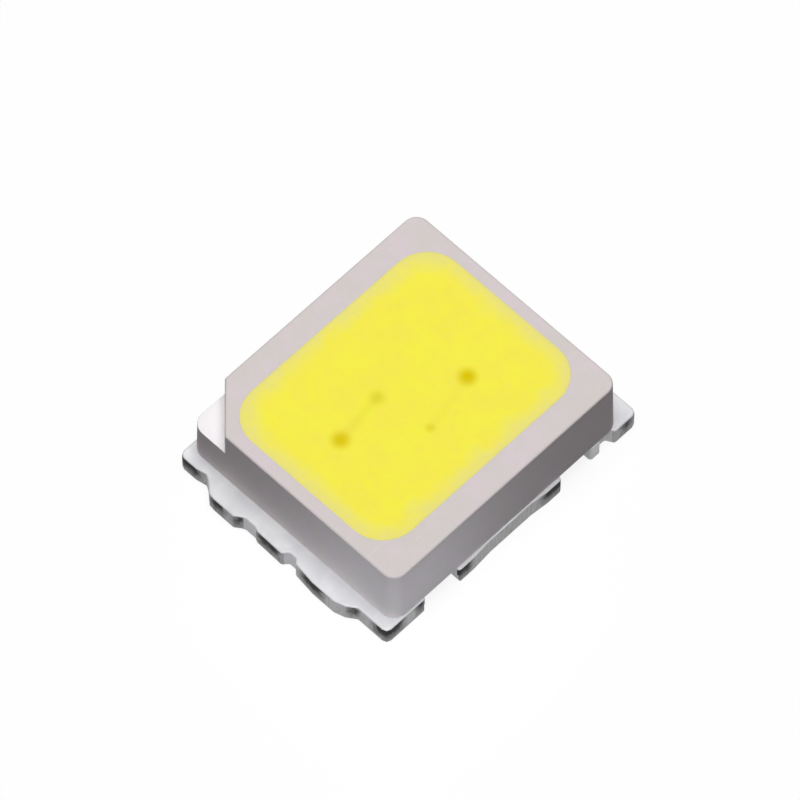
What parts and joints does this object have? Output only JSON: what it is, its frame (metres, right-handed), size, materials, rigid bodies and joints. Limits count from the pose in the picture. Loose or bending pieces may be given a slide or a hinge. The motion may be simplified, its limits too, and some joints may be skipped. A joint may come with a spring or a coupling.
{
  "type": "surface-mount light-emitting diode",
  "caption": "White surface-mount LED: low rectangular plastic package with a cut corner, a flush yellow phosphor window and flat trimmed solder leads underneath.",
  "frame": {"origin": "centre of the footprint, in the plane of the solder pads", "axes": "+X along the package from the large cathode lead to the small anode lead, +Y towards the long side with the cut corner, +Z out of the light-emitting face"},
  "size_m": [0.0036, 0.0028, 0.001],
  "materials": {
    "housing": "moulded matt white polyamide",
    "cathode_lead": "silver-plated copper strip, bright, with darker sheared ends",
    "anode_lead": "silver-plated copper strip, bright, with darker sheared ends",
    "die_attach": "cured clear silicone",
    "led_chip": "polished sapphire",
    "cathode_electrode": "gold film",
    "anode_electrode": "gold film",
    "cathode_bond_wire": "drawn gold wire",
    "anode_bond_wire": "drawn gold wire",
    "phosphor_encapsulant": "cured silicone with yellow phosphor, satin"
  },
  "bodies": {
    "root": {"housing": "housing", "cathode_lead": "cathode_lead", "anode_lead": "anode_lead", "die_attach": "die_attach", "led_chip": "led_chip", "cathode_electrode": "cathode_electrode", "anode_electrode": "anode_electrode", "cathode_bond_wire": "cathode_bond_wire", "anode_bond_wire": "anode_bond_wire", "phosphor_encapsulant": "phosphor_encapsulant"}
  },
  "joints": []
}
